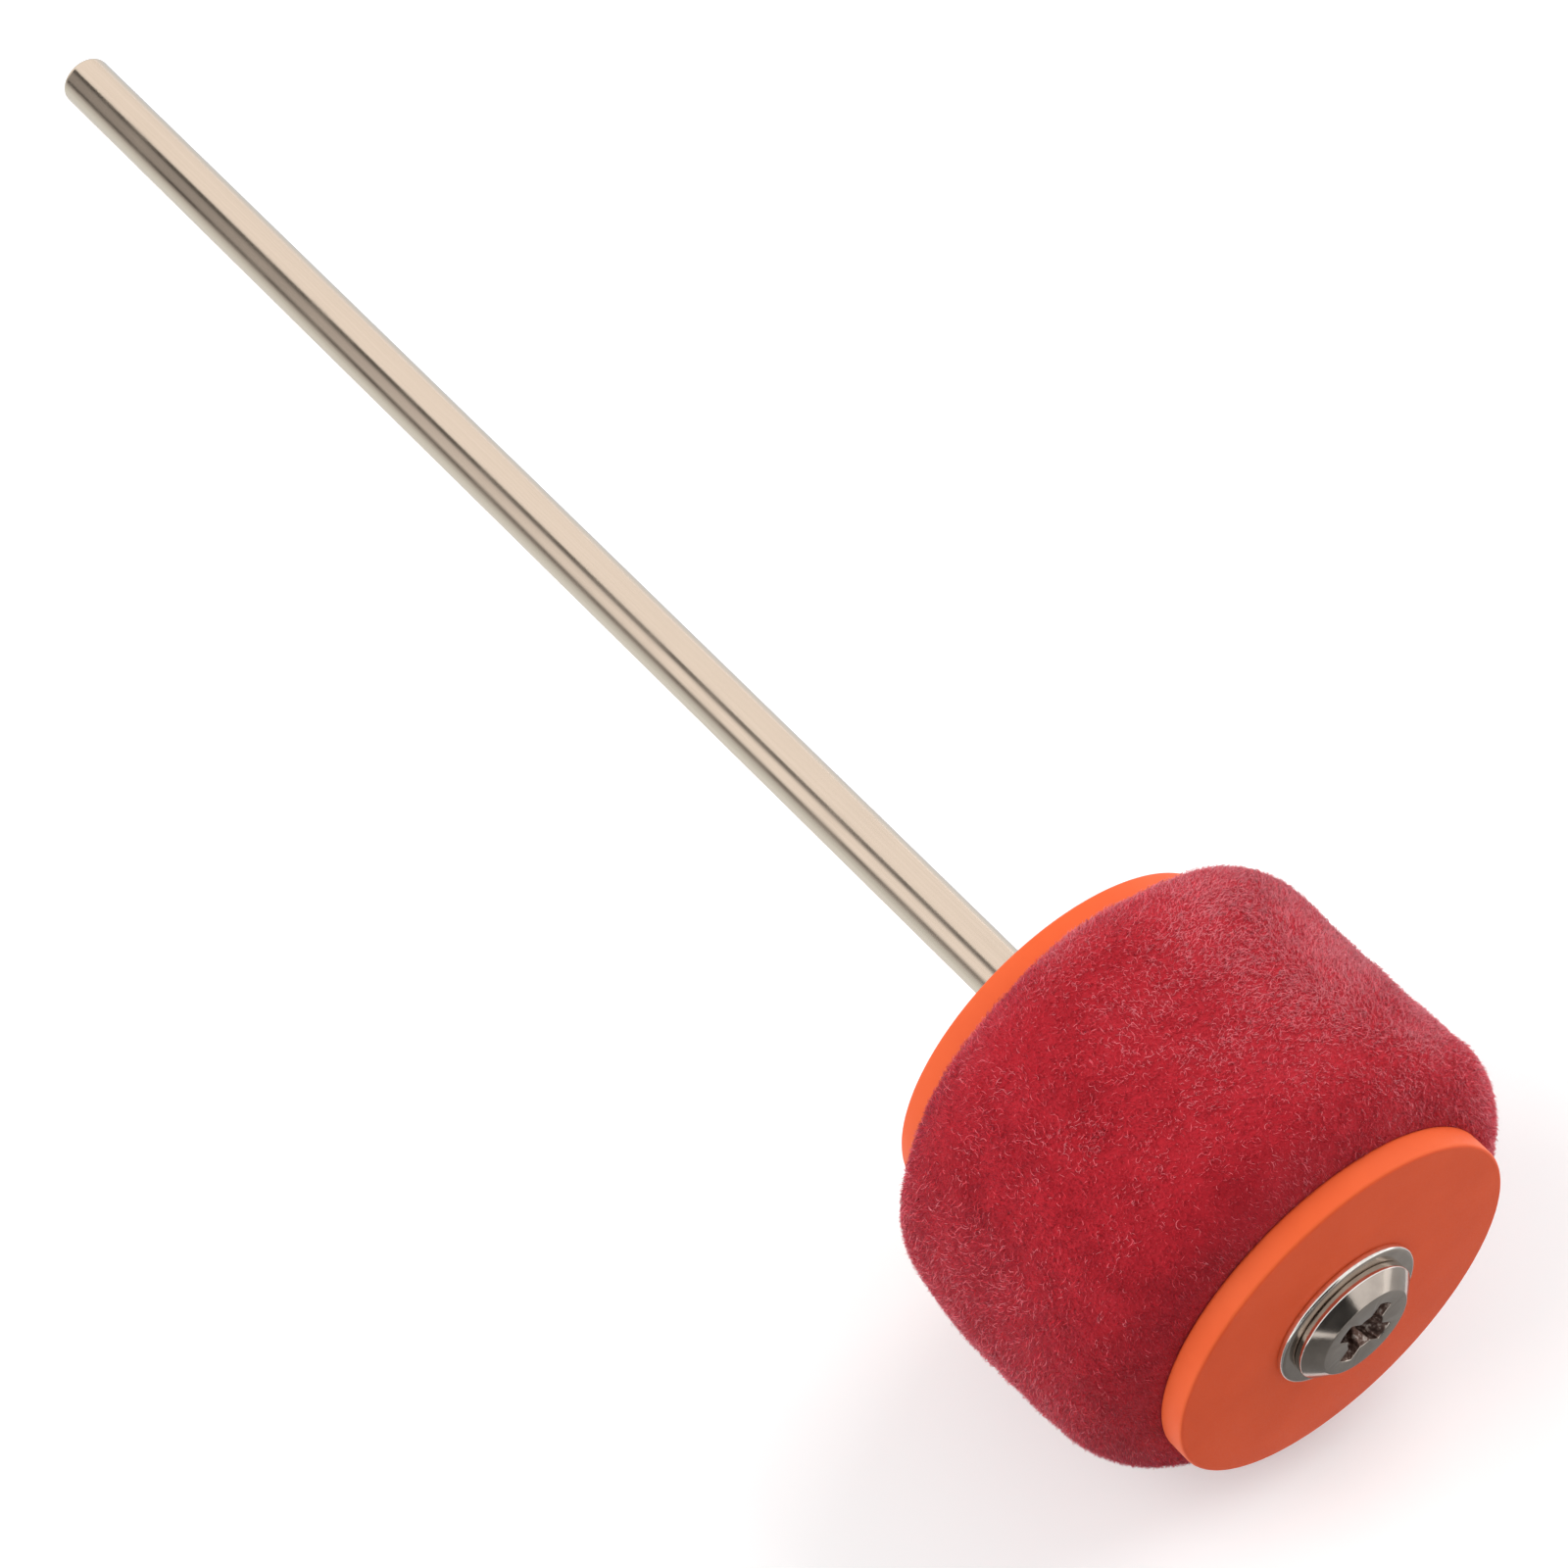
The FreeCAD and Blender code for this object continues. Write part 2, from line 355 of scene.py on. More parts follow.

# Dim cards that glow and show only in reflections, painted reflections of the room and of the floor's shade,
# in metres, with tones at places from 0 to 1 across and along them
CARD_RADIUS = 0.7
CARD_ROWS = 27
EVEN = [(0.0, 1.0), (1.0, 1.0)]
BENT_CARDS = {
    "dim_side": {
        "turn_deg": (109, 187), "x": (-1.2, 0.22),
        "across": [(0.0, 0.16), (0.14, 0.16), (0.3, 1.0), (0.7, 1.0), (0.86, 0.16), (1.0, 0.16)],
        "along": [(0.0, 0.28), (0.32, 0.30), (0.46, 0.36), (0.66, 1.0), (1.0, 1.0)],
    },
    "dim_back": {
        "turn_deg": (71, -7), "x": (-0.10, 0.22),
        "across": [(0.0, 1.0), (0.2, 0.55), (0.45, 0.2), (0.6, 0.2), (0.85, 0.6), (1.0, 1.0)],
        "along": EVEN,
    },
}
FLOOR_CARDS = {
    "dim_floor": {
        "x": (0.187, 0.42), "y": (-0.12, 0.14),
        "across": [(0.0, 0.10), (0.45, 0.22), (0.6, 0.45), (1.0, 0.6)],
    },
    "dim_side_floor": {
        "x": (-0.75, 0.13), "y": (-0.7, -0.005),
        "across": [(0.0, 0.30), (0.75, 0.39), (0.94, (0.72, 0.80, 0.82)), (1.0, (1.0, 1.1, 1.18))],
    },
    "dim_far_floor": {
        "x": (-0.75, 0.13), "y": (0.006, 0.7),
        "across": [(0.0, (0.88, 0.97, 1.08)), (0.1, (0.93, 1.01, 1.1)), (1.0, (0.97, 1.0, 1.05))],
    },
}
FRONT_CARD_X = 0.8
FRONT_CARD_Y = (-1.0, 0.08)
FRONT_CARD_TOP = 0.6
FRONT_CARD_TONE = 0.05


# Shapes

def reach(node):
    """First and last place along the shaft and the outer radius of a CAD node."""
    places = np.array([v.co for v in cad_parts[node].data.vertices]) / MM
    return places[:, 0].min(), places[:, 0].max(), np.hypot(places[:, 1], places[:, 2]).max()


def new_object(name, mesh, materials, body):
    piece = bpy.data.objects.new(name, mesh)
    bpy.context.scene.collection.objects.link(piece)
    for material in materials:
        mesh.materials.append(material)
    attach(piece, body)
    return piece


def around(columns):
    return np.linspace(0, 2 * math.pi, columns, endpoint=False)


def grid_mesh(name, points, ring):
    """Closed mesh over rows of points that each go once round the shaft.
    With ring the last row joins the first, and otherwise both ends are capped."""
    rows, columns = points.shape[:2]
    index = np.arange(rows * columns).reshape(rows, columns)
    joined = np.vstack([index, index[:1]]) if ring else index
    beside = np.roll(joined, -1, axis=1)
    quads = np.stack([joined[:-1], beside[:-1], beside[1:], joined[1:]], axis=-1)
    faces = quads.reshape(-1, 4).tolist()
    if not ring:
        faces.append(index[0].tolist())
        faces.append(index[-1, ::-1].tolist())
    mesh = bpy.data.meshes.new(name)
    mesh.from_pydata((points.reshape(-1, 3) * MM).tolist(), [], faces)
    shape = bmesh.new()
    shape.from_mesh(mesh)
    bmesh.ops.recalc_face_normals(shape, faces=shape.faces)
    shape.to_mesh(mesh)
    shape.free()
    mesh.shade_smooth()
    mesh.set_sharp_from_angle(angle=math.radians(SHARP_EDGE_DEG))
    return mesh


def turned_points(rows, angle):
    """Points of rows round the shaft. A row's place and radius are numbers, or vary with the angle."""
    x = np.array([np.broadcast_to(place, angle.shape) for place, _ in rows])
    r = np.array([np.broadcast_to(radius, angle.shape) for _, radius in rows])
    return np.stack([x, r * np.cos(angle), r * np.sin(angle)], axis=-1)


def turned_mesh(name, rows, angle, ring=True):
    return grid_mesh(name, turned_points(rows, angle), ring)


def arc(centre_x, centre_r, half_x, half_r, start_deg, end_deg, steps=EDGE_STEPS):
    """Points of an elliptic arc in a turned profile; 0 points along the shaft, 90 outwards."""
    turn = np.radians(np.linspace(start_deg, end_deg, steps + 1))
    return list(zip(centre_x + half_x * np.cos(turn), centre_r + half_r * np.sin(turn)))


def rounded_ring(x0, x1, inner_r, outer_r, edge):
    """Profile of a ring whose outer edges are rounded and whose inner ones are broken."""
    broken = edge / 2
    return [
        (x0 + broken, inner_r),
        (x0, inner_r + broken),
        *arc(x0 + edge, outer_r - edge, edge, edge, 180, 90),
        *arc(x1 - edge, outer_r - edge, edge, edge, 90, 0),
        (x1, inner_r + broken),
        (x1 - broken, inner_r),
    ]


def shouldered(x0, x1, r, half_x, half_r, steps, rows):
    """Outer profile of a sleeve with rounded shoulders."""
    middle = np.linspace(x0 + half_x, x1 - half_x, rows)[1:-1]
    return [
        *arc(x0 + half_x, r - half_r, half_x, half_r, 180, 90, steps),
        *[(x, r) for x in middle],
        *arc(x1 - half_x, r - half_r, half_x, half_r, 90, 0, steps),
    ]


def thread_wave(x, angle):
    """Right-hand thread: 1 on the crests and 0 in the roots."""
    place = (x[:, None] / THREAD_PITCH - angle / (2 * math.pi)) % 1.0
    return np.clip((np.abs(2 * place - 1) - THREAD_ROOT_FLAT) / THREAD_FLANK, 0, 1)


def paint_highlight_rim(mesh, from_r):
    """Gives a mesh's second material, a painted highlight, to the faces that lie further out than a radius.
    """
    for face in mesh.polygons:
        face.material_index = int(math.hypot(face.center.y, face.center.z) / MM > from_r)


# Nodes

def new_material(name):
    material = bpy.data.materials.new(name)
    material.use_nodes = True
    return material, material.node_tree, material.node_tree.nodes["Principled BSDF"]


def add_node(tree, kind, **settings):
    node = tree.nodes.new(kind)
    for key, value in settings.items():
        setattr(node, key, value)
    return node


def set_levels(node, levels):
    for key, value in levels.items():
        node.inputs[key].default_value = value


def place_vector(tree, scale=(1, 1, 1)):
    """Place on the object, in millimetres, times a scale along each axis."""
    coordinates = add_node(tree, "ShaderNodeTexCoord")
    mapping = add_node(tree, "ShaderNodeMapping")
    set_levels(mapping, {"Scale": [s / MM for s in scale]})
    tree.links.new(coordinates.outputs["Object"], mapping.inputs["Vector"])
    return mapping.outputs["Vector"]


def noise(tree, size, detail, stretch=1):
    """Noise whose features are about size millimetres, drawn out along the shaft by stretch."""
    node = add_node(tree, "ShaderNodeTexNoise")
    set_levels(node, {"Scale": 1.0, "Detail": detail, "Roughness": NOISE_ROUGHNESS})
    scale = (1 / (size * stretch), 1 / size, 1 / size)
    tree.links.new(place_vector(tree, scale), node.inputs["Vector"])
    return node.outputs["Fac"]


def ramp(tree, value, stops):
    """Colour by value; stops are pairs of a place and a linear colour or a grey level."""
    node = add_node(tree, "ShaderNodeValToRGB")
    elements = node.color_ramp.elements
    for place, _ in stops[len(elements):]:
        elements.new(place)
    for element, (place, colour) in zip(elements, stops):
        element.position = place
        element.color = (*np.broadcast_to(colour, 3), 1)
    tree.links.new(value, node.inputs["Fac"])
    return node.outputs["Color"]


def spread(tree, value, low, high, value_range=NOISE_REACH):
    """Value brought from its own range to the range low to high."""
    node = add_node(tree, "ShaderNodeMapRange")
    from_low, from_high = value_range
    set_levels(node, {"From Min": from_low, "From Max": from_high, "To Min": low, "To Max": high})
    tree.links.new(value, node.inputs["Value"])
    return node.outputs["Result"]


def bump(tree, shader, height, depth):
    """Bump of a depth in millimetres."""
    node = add_node(tree, "ShaderNodeBump")
    set_levels(node, {"Strength": 1.0, "Distance": depth * MM})
    tree.links.new(height, node.inputs["Height"])
    tree.links.new(node.outputs["Normal"], shader.inputs["Normal"])


def paler_on_sheen_side(tree, value, share):
    """Value raised on the side of painted sheen and lowered on the other by a share: painted light and shade.
    """
    turn = math.radians(SHEEN_SIDE_DEG)
    side = add_node(tree, "ShaderNodeVectorMath", operation="DOT_PRODUCT")
    tree.links.new(place_vector(tree), side.inputs[0])
    side.inputs[1].default_value = (0, math.cos(turn) / COVER_R, math.sin(turn) / COVER_R)
    tone = add_node(tree, "ShaderNodeMath", operation="MULTIPLY_ADD")
    tree.links.new(side.outputs["Value"], tone.inputs[0])
    tone.inputs[1].default_value = share
    tree.links.new(value, tone.inputs[2])
    return tone.outputs["Value"]


# Materials

def textured(name):
    """Material of the look with this name."""
    look = LOOKS[name]
    material, tree, shader = new_material(name)
    noises = {label: noise(tree, **features) for label, features in look["noises"].items()}
    label, stops = look["colour"]
    tone = noises[label]
    if "sheen_side" in look:
        tone = paler_on_sheen_side(tree, tone, look["sheen_side"])
    tree.links.new(ramp(tree, tone, stops), shader.inputs["Base Color"])
    label, low, high = look["roughness"]
    tree.links.new(spread(tree, noises[label], low, high), shader.inputs["Roughness"])
    label, depth = look["relief"]
    bump(tree, shader, noises[label], depth)
    set_levels(shader, look["levels"])
    return material


def pile_materials():
    """One shade of dyed fibre each, from deep crimson to pale pink."""
    made = []
    for i, colour in enumerate(PILE_SHADES):
        material, _, shader = new_material(f"pile_{i}")
        set_levels(shader, {"Base Color": (*colour, 1), **PILE_LEVELS})
        made.append(material)
    return made


# Hard pieces

def build_shaft(material):
    """Rod with a rounded free end and a cut thread at the head."""
    x0, x1, r = reach("shaft")
    x_thread = reach("rear_disc")[0] - THREAD_BEHIND_DISC
    angle = around(ROD_COLUMNS)
    end = SHAFT_END_ROUND
    threaded = np.arange(x_thread, x1, THREAD_ROW)
    fade = np.clip((threaded - x_thread) / THREAD_FADE, 0, 1)[:, None]
    crest = r - fade * (r - THREAD_CREST_R)
    cut = crest - fade * (r - THREAD_ROOT_R) * (1 - thread_wave(threaded, angle))
    tip_r = THREAD_ROOT_R - THREAD_POINT
    point = tip_r + np.clip((x1 - threaded) / THREAD_PITCH, 0, 1)[:, None] * (r - tip_r)
    rows = [
        *arc(x0 + end, r - end, end, end, 180, 90),
        *zip(threaded, np.minimum(cut, point)),
    ]
    mesh = turned_mesh("shaft_rod", rows, angle, ring=False)
    piece = new_object("shaft_rod", mesh, [material], "shaft")
    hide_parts("shaft")


def build_rear_nut(material):
    """Thin hexagon nut, with its corners turned off on both sides."""
    x0, x1, _ = reach("rear_nut")
    angle = around(NUT_COLUMNS)
    sixth = math.pi / 3
    flat_r = REAR_NUT_FLATS / 2
    side_r = flat_r / np.cos(angle % sixth - sixth / 2)
    face_r = flat_r * REAR_NUT_FACE
    mouth_r = THREAD_CREST_R + THREAD_MOUTH
    drop = math.tan(math.radians(REAR_NUT_CHAMFER_DEG)) * (side_r - face_r)
    rows = [
        (x0 + REAR_NUT_MOUTH_DEPTH, THREAD_ROOT_R),
        (x0, mouth_r),
        (x0, face_r),
        (x0 + drop, side_r),
        (x1 - drop, side_r),
        (x1, face_r),
        (x1, mouth_r),
        (x1 - REAR_NUT_MOUTH_DEPTH, THREAD_ROOT_R),
    ]
    mesh = turned_mesh("rear_hex_nut", rows, angle)
    piece = new_object("rear_hex_nut", mesh, [material], "shaft")
    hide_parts("rear_nut")


def build_rear_washer(material):
    x0, x1, r = reach("rear_washer")
    profile = rounded_ring(x0, x1, REAR_WASHER_BORE_R, r, REAR_WASHER_EDGE)
    mesh = turned_mesh("rear_plain_washer", profile, around(RING_COLUMNS))
    piece = new_object("rear_plain_washer", mesh, [material], "shaft")
    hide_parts("rear_washer")


def build_disc(node, bore_r, material, highlight_rim_material):
    x0, x1, r = reach(node)
    profile = rounded_ring(x0, x1, bore_r, r, DISC_EDGE_ROUND)
    mesh = turned_mesh(f"{node}_plate", profile, around(DISC_COLUMNS))
    piece = new_object(f"{node}_plate", mesh, [material, highlight_rim_material], "head")
    # The rim gets the paler orange, a painted highlight
    paint_highlight_rim(mesh, r - DISC_HIGHLIGHT_BAND)
    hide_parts(node)


def build_front_washer(material, highlight_material):
    x0, x1, r = reach("front_washer")
    foot = WASHER_FOOT_ROUND
    top_x = WASHER_TOP_ROUND_X
    top_r = WASHER_TOP_ROUND_R
    profile = [
        (x0, WASHER_BORE_R),
        *arc(x0 + foot, r - foot, foot, foot, 180, 90, WASHER_FOOT_STEPS),
        *arc(x1 - top_x, r - top_r, top_x, top_r, 90, 0),
        (x1, WASHER_BORE_R + foot),
        (x1 - foot, WASHER_BORE_R),
    ]
    mesh = turned_mesh("front_plain_washer", profile, around(NUT_COLUMNS))
    piece = new_object("front_plain_washer", mesh, [material, highlight_material], "washer")
    # The outer edge gets a painted highlight
    paint_highlight_rim(mesh, r - WASHER_HIGHLIGHT_EDGE)
    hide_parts("front_washer")


def nut_bore(x0, angle):
    """Rows of the sleeve nut's blind thread, from the drill point out to the open end."""
    x_bottom = x0 + NUT_BORE_DEPTH
    minor_r = THREAD_ROOT_R + THREAD_PLAY
    major_r = THREAD_CREST_R + THREAD_PLAY
    x_point = x_bottom + minor_r / math.tan(math.radians(NUT_DRILL_POINT_DEG / 2))
    threaded = np.arange(x_bottom, x0 + THREAD_PITCH / 2, -THREAD_ROW)
    bore = minor_r + (major_r - minor_r) * thread_wave(threaded, angle)
    return [(x_point, NUT_DRILL_POINT_R), *zip(threaded, bore), (x0, major_r)]


def nut_outside(x0, x_seat, x_top, head_r):
    """Profile of the sleeve nut's barrel and bevelled head."""
    corner = NUT_CORNER_ROUND
    x_side = x_seat + NUT_SIDE
    bevel = math.degrees(math.atan2(head_r - NUT_TOP_R, x_top - x_side))
    return [
        (x0, BARREL_R - BARREL_CHAMFER),
        (x0 + BARREL_CHAMFER, BARREL_R),
        (x_seat, BARREL_R),
        *arc(x_seat + corner, head_r - corner, corner, corner, 180, 90, NUT_CORNER_STEPS),
        *arc(x_side - corner, head_r - corner, corner, corner, 90, bevel, NUT_CORNER_STEPS),
        *arc(x_top - corner, NUT_TOP_R - corner / 2, corner, corner, bevel, 0, NUT_CORNER_STEPS),
    ]


def recess_radius(angle, depth):
    """Edge of the cross recess at an angle, at a depth from 0 on top to 1 on the floor."""
    end_r = RECESS_ARM_END_R + depth * (RECESS_FLOOR_END_R - RECESS_ARM_END_R)
    half_w = RECESS_ARM_HALF_W + depth * (RECESS_FLOOR_HALF_W - RECESS_ARM_HALF_W)
    throat_r = RECESS_THROAT_R + depth * (RECESS_FLOOR_THROAT_R - RECESS_THROAT_R)
    quarter = math.pi / 2
    off_arm = np.abs((angle - math.radians(RECESS_TURN_DEG) + quarter / 2) % quarter - quarter / 2)
    arm = np.minimum(end_r, half_w / np.maximum(np.sin(off_arm), TINY))
    return np.maximum(arm, throat_r)


def recess_rows(x_top, angle):
    """Rows of the cross recess, from its rounded lip down to its floor."""
    rows = []
    mouth = recess_radius(angle, 0.0)
    for share in RECESS_LIP_SHARES:
        turn = share * math.pi / 2
        rows.append((x_top - RECESS_LIP * (1 - math.cos(turn)), mouth + RECESS_LIP * (1 - math.sin(turn))))
    for share in RECESS_DEPTH_SHARES:
        x = x_top - RECESS_LIP - share * (RECESS_DEPTH - RECESS_LIP)
        rows.append((x, recess_radius(angle, share)))
    rows.append((x_top - RECESS_DEPTH - RECESS_POINT_DEPTH, RECESS_POINT_R))
    return rows


def build_sleeve_nut(material, recess_shade_material, highlight_material):
    """Blind nut: threaded barrel, bevelled head and a cross recess for a screwdriver."""
    x0, x_top, head_r = reach("sleeve_nut")
    x_seat = x_top - NUT_HEAD_T
    x_bevel = x_seat + NUT_SIDE - NUT_CORNER_ROUND
    angle = around(NUT_COLUMNS)
    rows = [*nut_bore(x0, angle), *nut_outside(x0, x_seat, x_top, head_r), *recess_rows(x_top, angle)]
    mesh = turned_mesh("cross_sleeve_nut", rows, angle, ring=False)
    materials = [material, recess_shade_material, highlight_material]
    piece = new_object("cross_sleeve_nut", mesh, materials, "nut")
    for face in mesh.polygons:
        x, y, z = face.center / MM
        face_r = math.hypot(y, z)
        # The recess gets painted shade
        if x_seat < x < x_top - RECESS_LIP / 2 and face_r < RECESS_ARM_END_R:
            face.material_index = materials.index(recess_shade_material)
        # The rounded edge of the head gets a painted highlight
        elif x > x_bevel and face_r > head_r - NUT_CORNER_ROUND:
            face.material_index = materials.index(highlight_material)
    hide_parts("sleeve_nut")


def build_core(material):
    x0, x1, r = reach("head_core")
    x_step = x1 - CORE_STEP_FROM_FRONT
    profile = [
        (x0, CORE_SHAFT_BORE_R),
        (x0, r - CORE_EDGE),
        (x0 + CORE_EDGE, r),
        (x1 - CORE_EDGE, r),
        (x1, r - CORE_EDGE),
        (x1, CORE_BARREL_BORE_R),
        (x_step, CORE_BARREL_BORE_R),
        (x_step, CORE_SHAFT_BORE_R),
    ]
    mesh = turned_mesh("turned_core", profile, around(RING_COLUMNS))
    piece = new_object("turned_core", mesh, [material], "head")
    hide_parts("head_core")


def build_draw_thread(node, material):
    """Plied sewing thread drawn into a ring at the cover's edge."""
    x0, x1, r = reach(node)
    thick = (x1 - x0) / 2
    strand_r = thick / 2
    turn = around(DRAW_COLUMNS)
    side = around(DRAW_SIDES)
    twist = DRAW_TWISTS * turn + around(DRAW_STRANDS)[:, None]
    line_x = (x0 + x1) / 2 + strand_r * np.cos(twist)
    line_r = r - thick + strand_r * np.sin(twist)
    x = line_x[..., None] + strand_r * np.cos(side)
    radius = line_r[..., None] + strand_r * np.sin(side)
    points = np.stack([x, radius * np.cos(turn)[:, None], radius * np.sin(turn)[:, None]], axis=-1)
    index = np.arange(x.size).reshape(x.shape)
    ahead = np.roll(index, -1, axis=1)
    quads = np.stack([index, ahead, np.roll(ahead, -1, axis=2), np.roll(index, -1, axis=2)], axis=-1)
    mesh = bpy.data.meshes.new(f"{node}_ply")
    mesh.from_pydata((points.reshape(-1, 3) * MM).tolist(), [], quads.reshape(-1, 4).tolist())
    mesh.shade_smooth()
    piece = new_object(f"{node}_ply", mesh, [material], "head")
    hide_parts(node)


# Soft pieces

def wave_field(random, waves, most_turns, shortest):
    """Smooth field over angle and place, which repeats once round the shaft, of about unit size."""
    turns = random.integers(-most_turns, most_turns + 1, waves)
    along = random.uniform(-1, 1, waves) * 2 * math.pi / shortest
    phase = random.uniform(0, 2 * math.pi, waves)

    def field(angle, x):
        total = np.zeros(np.broadcast(angle, x).shape)
        for t, a, p in zip(turns, along, phase):
            total = total + np.sin(t * angle + a * x + p)
        return total / math.sqrt(waves / 2)

    return field


random = np.random.default_rng(PILE_SEED)
broad_lumps = wave_field(random, **BROAD_LUMPS)
fine_lumps = wave_field(random, **FINE_LUMPS)
nap_turn = wave_field(random, **NAP_TURN)
nap_shade = wave_field(random, **NAP_SHADE)
loose_clumps = wave_field(random, **LOOSE_CLUMPS)


def build_felt(material):
    """Felt sleeve, a little uneven, with rounded shoulders."""
    x0, x1, r = reach("felt_padding")
    core_r = reach("head_core")[2] + GLUE_GAP
    angle = around(FELT_COLUMNS)
    rows = [(x0, core_r)]
    for x, outer_r in shouldered(x0, x1, r, FELT_SHOULDER, FELT_SHOULDER, EDGE_STEPS, FELT_ROWS):
        dent = FELT_LUMP * (1 + np.tanh(broad_lumps(angle, x))) / 2
        rows.append((x, outer_r - dent))
    rows.append((x1, core_r))
    mesh = turned_mesh("felt_sleeve", rows, angle)
    piece = new_object("felt_sleeve", mesh, [material], "head")
    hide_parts("felt_padding")


def cover_profile():
    """Outer profile of the cover from the rear disc to the front one, with its outward directions."""
    x0, x1, _ = reach("plush_cover")
    points = np.array(shouldered(
        x0, x1, COVER_R, COVER_SHOULDER_X, COVER_SHOULDER_R, COVER_SHOULDER_STEPS, COVER_ROWS
    ))
    along = np.gradient(points, axis=0)
    outward = np.stack([-along[:, 1], along[:, 0]], axis=1)
    return points, outward / np.linalg.norm(outward, axis=1, keepdims=True)


def along_cover(x):
    """Place along the cover: -1 at the rear disc, 0 in the middle and 1 at the front disc."""
    x0, x1, _ = reach("plush_cover")
    return (2 * x - x0 - x1) / (x1 - x0)


def cover_points(x, r, out_x, out_r, angle):
    """Points of the cover's outside, off centre, waisted on one side and a little lumpy."""
    free = np.clip((r - COVER_FREE_FROM_R) / COVER_FREE_OVER, 0, 1)
    bow = along_cover(x) ** 2
    lump = COVER_LUMP * broad_lumps(angle, x) + COVER_FINE_LUMP * fine_lumps(angle, x)
    waist_side = np.cos(angle - math.radians(COVER_WAIST_DEG))
    waist = -COVER_WAIST * waist_side * (1 - COVER_WAIST_FALL * bow)
    crown = COVER_CROWN * (1 - COVER_CROWN_FALL * bow)
    swell = free * (lump + waist + crown)
    radius = r + swell * out_r
    return np.stack([
        x + swell * out_x,
        radius * np.cos(angle) + free * COVER_OFFSET_Y,
        radius * np.sin(angle) + free * COVER_OFFSET_Z,
    ], axis=-1)


def build_cover(material):
    """Backing and dense foot of the pile, tucked in under both discs."""
    x0, x1, _ = reach("plush_cover")
    i0 = x0 + COVER_END_T
    i1 = x1 - COVER_END_T
    fold = FELT_SHOULDER + GLUE_GAP
    fold_r = reach("felt_padding")[2] + GLUE_GAP - fold
    angle = around(COVER_COLUMNS)
    outer, outward = cover_profile()
    outside = cover_points(outer[:, :1], outer[:, 1:], outward[:, :1], outward[:, 1:], angle)
    inside = turned_points([
        (x1, COVER_LIP_R),
        (i1, COVER_LIP_R),
        *arc(i1 - fold, fold_r, fold, fold, 0, 90),
        *arc(i0 + fold, fold_r, fold, fold, 90, 180),
        (i0, COVER_LIP_R),
        (x0, COVER_LIP_R),
    ], angle)
    mesh = grid_mesh("plush_sleeve", np.concatenate([outside, inside]), ring=True)
    piece = new_object("plush_sleeve", mesh, [material], "head")
    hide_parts("plush_cover")


# Pile

# How far a place lies towards the side of painted sheen: 1 there and -1 opposite
def sheen_side(angle, turns=1):
    return np.cos(turns * (angle - math.radians(SHEEN_SIDE_DEG)))


def sheen_flecks(angle, x):
    """How thickly loose fibres lie, as a logarithm: their pale fibres gather as a painted sheen on one side.
    """
    round_it = FLECKS_SHEEN_SIDE * sheen_side(angle) + FLECKS_TWO_SIDES * sheen_side(angle, 2)
    along = along_cover(x)
    return round_it - np.where(along > 0, FLECKS_FEWER_FRONT, FLECKS_FEWER_REAR) * along ** 2


def scatter_roots(kind):
    """Rows of the cover's profile and angles round the shaft at which fibres stand."""
    outer, _ = cover_profile()
    rows = np.arange(len(outer))
    steps = np.linalg.norm(np.diff(outer, axis=0), axis=1)
    area = np.concatenate([[0], np.cumsum(steps * (outer[1:, 1] + outer[:-1, 1]) / 2)])
    row = np.interp(random.uniform(0, area[-1], SPARE_ROOTS * kind["count"]), area, rows)
    angle = random.uniform(0, 2 * math.pi, row.size)
    x = np.interp(row, rows, outer[:, 0])
    # Pale loose fibres gather on one side as a painted sheen
    weight = np.exp(kind["clump"] * loose_clumps(angle, x) + kind["sheen_flecks"] * sheen_flecks(angle, x))
    kept = random.choice(row.size, kind["count"], replace=False, p=weight / weight.sum())
    return row[kept], angle[kept]


def stand_roots(row, angle):
    """Place along the shaft, point and outward direction of each root."""
    profile = np.hstack(cover_profile())
    rows = np.arange(len(profile))
    x, r, out_x, out_r = (np.interp(row, rows, column) for column in profile.T)
    root = cover_points(x, r, out_x, out_r, angle)
    return x, root, np.stack([out_x, out_r * np.cos(angle), out_r * np.sin(angle)], axis=-1)


def comb(outward, angle, x):
    """The way in which each fibre leans, and the way across it."""
    ring_way = np.stack([np.zeros_like(angle), -np.sin(angle), np.cos(angle)], axis=-1)
    side_way = np.cross(outward, ring_way)
    heading = NAP_SWIRL * nap_turn(angle, x) + random.normal(0, NAP_STRAY, angle.size)
    lean = np.cos(heading)[:, None] * side_way + np.sin(heading)[:, None] * ring_way
    return lean, np.cross(outward, lean)


def curve_fibres(kind, tall, root, outward, lean, across):
    """Points of each fibre from root to tip."""
    low, high = kind["height"]
    height = low + (high - low) * tall
    length = random.uniform(*kind["length"], tall.size)
    curl = random.normal(0, kind["curl"], tall.size) * length
    lines = []
    for step in np.linspace(0, 1, kind["steps"] + 1):
        rise = height * (1 - (1 - step) ** FIBRE_RISE) - FIBRE_ROOT_DEPTH
        drift = length * step ** FIBRE_DRIFT
        swing = curl * math.sin(math.pi * step)
        lines.append(root + outward * rise[:, None] + lean * drift[:, None] + across * swing[:, None])
    return np.stack(lines, axis=1)


